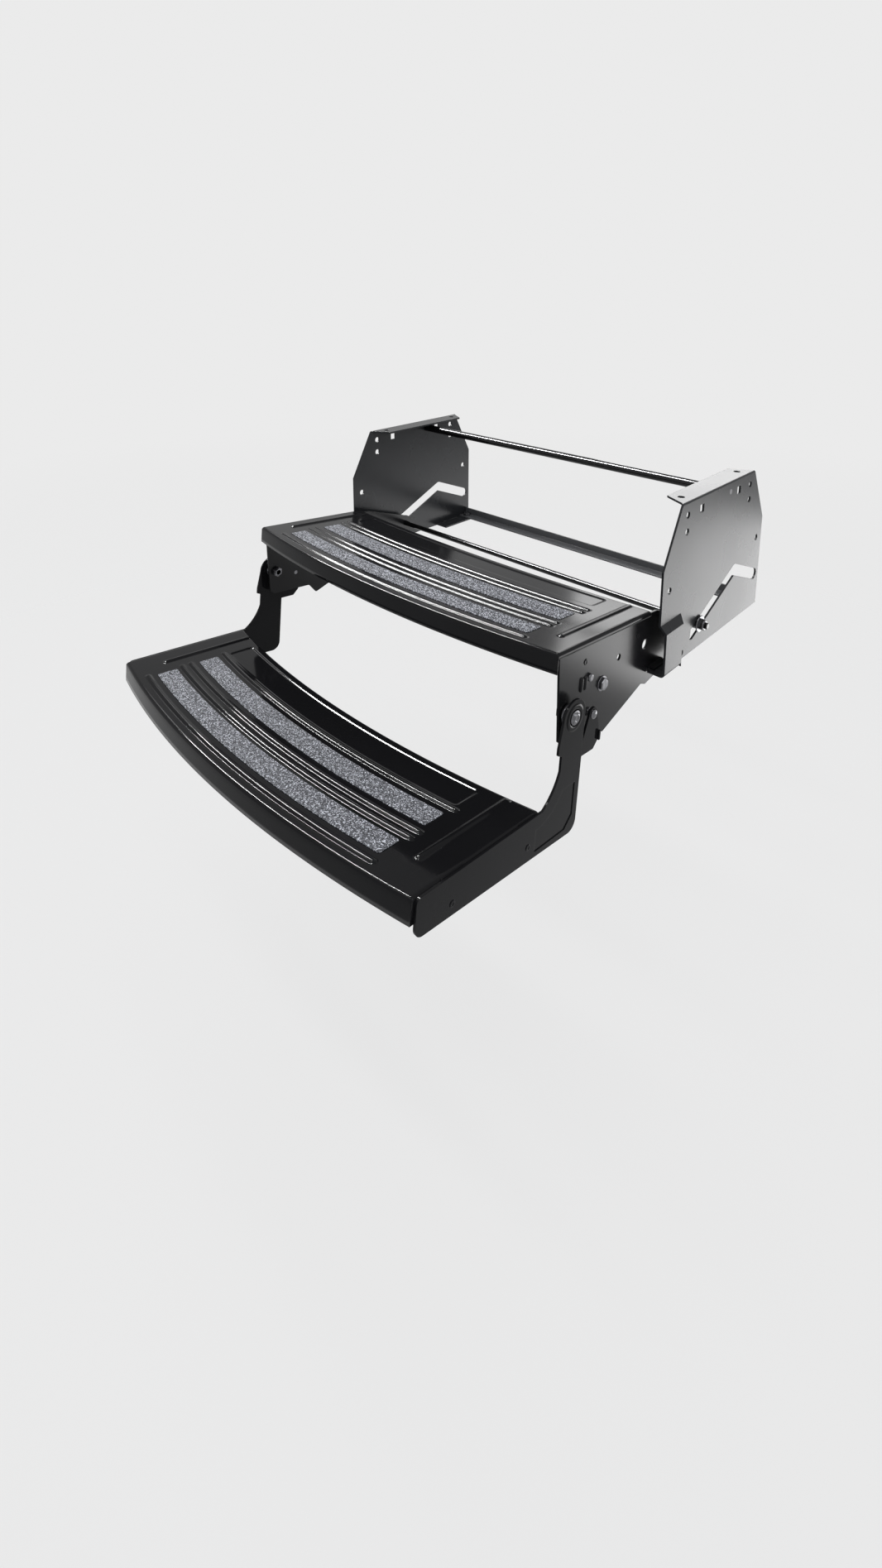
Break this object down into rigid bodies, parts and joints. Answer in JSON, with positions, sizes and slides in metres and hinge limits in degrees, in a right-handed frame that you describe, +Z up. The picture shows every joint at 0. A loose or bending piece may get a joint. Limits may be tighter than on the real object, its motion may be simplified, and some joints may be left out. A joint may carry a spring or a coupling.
{
  "type": "caravan pull out step",
  "caption": "Double entry step in black steel: curved treads with grip strips, a folding lower step and side brackets with bent slots.",
  "frame": {"origin": "centre of the four top flange bolt holes, on the top face of the two flanges", "axes": "+X to the right of a person facing the caravan, +Y towards the caravan, +Z up"},
  "size_m": [0.668, 0.8092, 0.3583],
  "materials": {
    "gloss_black_coat": "gloss",
    "bracket_coat": "satin",
    "bright_rod": "gloss",
    "hardware": "gloss",
    "grip_tape": "matte"
  },
  "bodies": {
    "housing": {"left_side_bracket": "bracket_coat", "right_side_bracket": "bracket_coat", "top_cross_rod": "bright_rod", "top_rod_pins": "hardware", "rear_cross_bar": "gloss_black_coat", "rear_bar_bolts": "hardware"},
    "upper_step": {"upper_tread": "gloss_black_coat", "upper_grip_front": "grip_tape", "upper_grip_rear": "grip_tape", "left_upper_side_plate": "gloss_black_coat", "right_upper_side_plate": "gloss_black_coat", "upper_tread_rivets": "hardware", "slide_rod": "bright_rod", "slide_bushes": "hardware", "slide_washers": "hardware", "slide_nuts": "hardware", "pivot_bolts": "hardware", "pivot_washers": "hardware", "pivot_nuts": "hardware", "stop_bolts": "hardware", "plate_studs": "hardware", "latch_pins": "hardware"},
    "lower_step": {"lower_tread": "gloss_black_coat", "lower_grip_front": "grip_tape", "lower_grip_rear": "grip_tape", "left_step_arm": "gloss_black_coat", "right_step_arm": "gloss_black_coat", "lower_tread_rivets": "hardware"},
    "left_latch": {"left_latch": "gloss_black_coat"},
    "right_latch": {"right_latch": "gloss_black_coat"}
  },
  "joints": [
    {"name": "step_slide", "type": "slide", "parent": "housing", "child": "upper_step", "axis": [0, 0.9171, 0.3987], "range_m": [0, 0.112]},
    {"name": "lower_step_fold", "type": "hinge", "parent": "upper_step", "child": "lower_step", "pos_m": [0, -0.35051, -0.20724], "axis": [-1, 0, 0], "range_deg": [0, 180]},
    {"name": "left_latch_turn", "type": "hinge", "parent": "upper_step", "child": "left_latch", "pos_m": [-0.3128, -0.31069, -0.22129], "axis": [1, 0, 0], "range_deg": [0, 20]},
    {"name": "right_latch_turn", "type": "hinge", "parent": "upper_step", "child": "right_latch", "pos_m": [0.3128, -0.31069, -0.22129], "axis": [1, 0, 0], "range_deg": [0, 20]}
  ]
}
